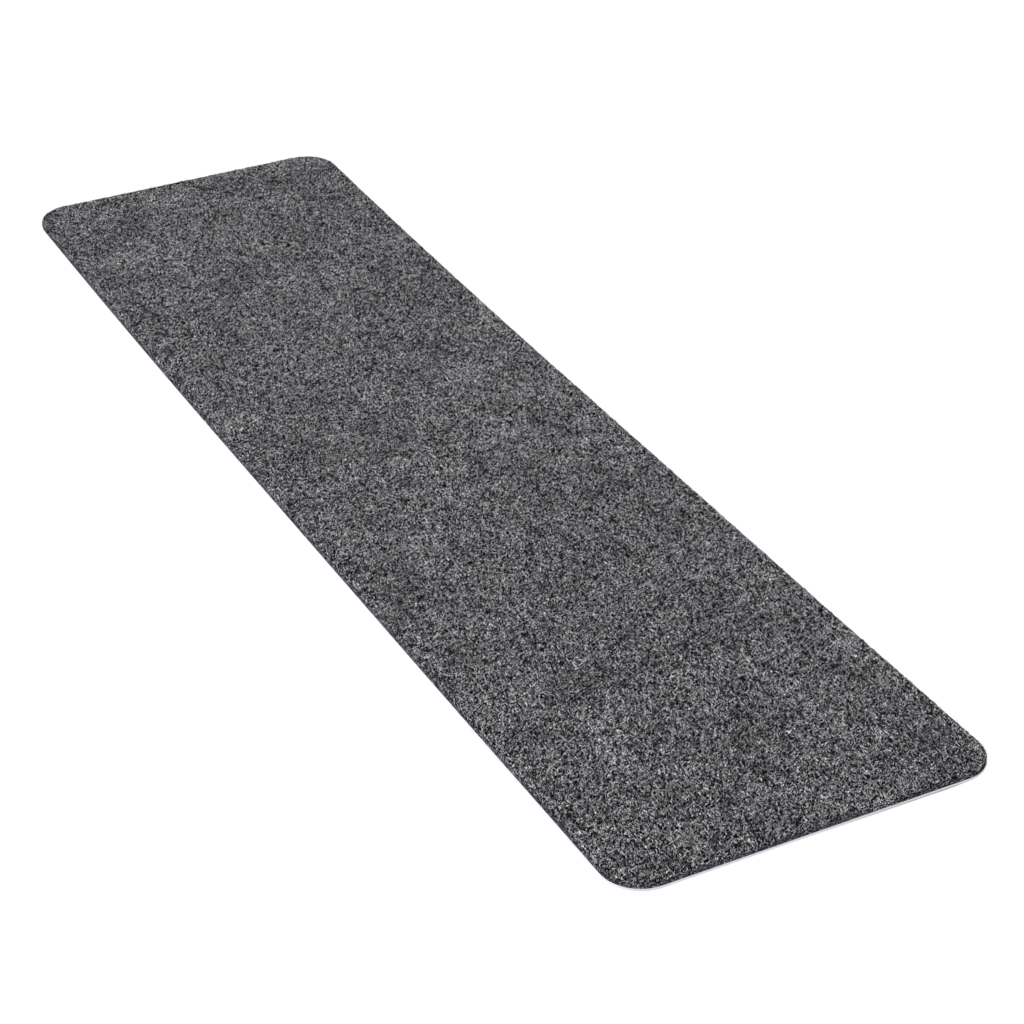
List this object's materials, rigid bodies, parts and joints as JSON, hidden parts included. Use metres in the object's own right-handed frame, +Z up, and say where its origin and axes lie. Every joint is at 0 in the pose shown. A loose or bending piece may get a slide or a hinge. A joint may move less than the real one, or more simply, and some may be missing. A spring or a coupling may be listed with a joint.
{
  "type": "stair tread mat",
  "caption": "Long felt mat with rounded corners for a stair tread, with a pale grip layer and a thin release film under it, both ends curled up slightly.",
  "frame": {"origin": "on the floor, under the middle of the mat", "axes": "+X along the mat towards the end nearer the viewer, +Y across the tread, +Z up out of the felt"},
  "size_m": [0.75, 0.2, 0.0107],
  "materials": {
    "charcoal_felt": "needle felt, matt and fibrous",
    "pale_grip_layer": "soft matt",
    "release_film": "thin translucent film, satin"
  },
  "bodies": {
    "root": {"felt_face": "charcoal_felt", "grip_backing": "pale_grip_layer", "release_film": "release_film"}
  },
  "joints": []
}
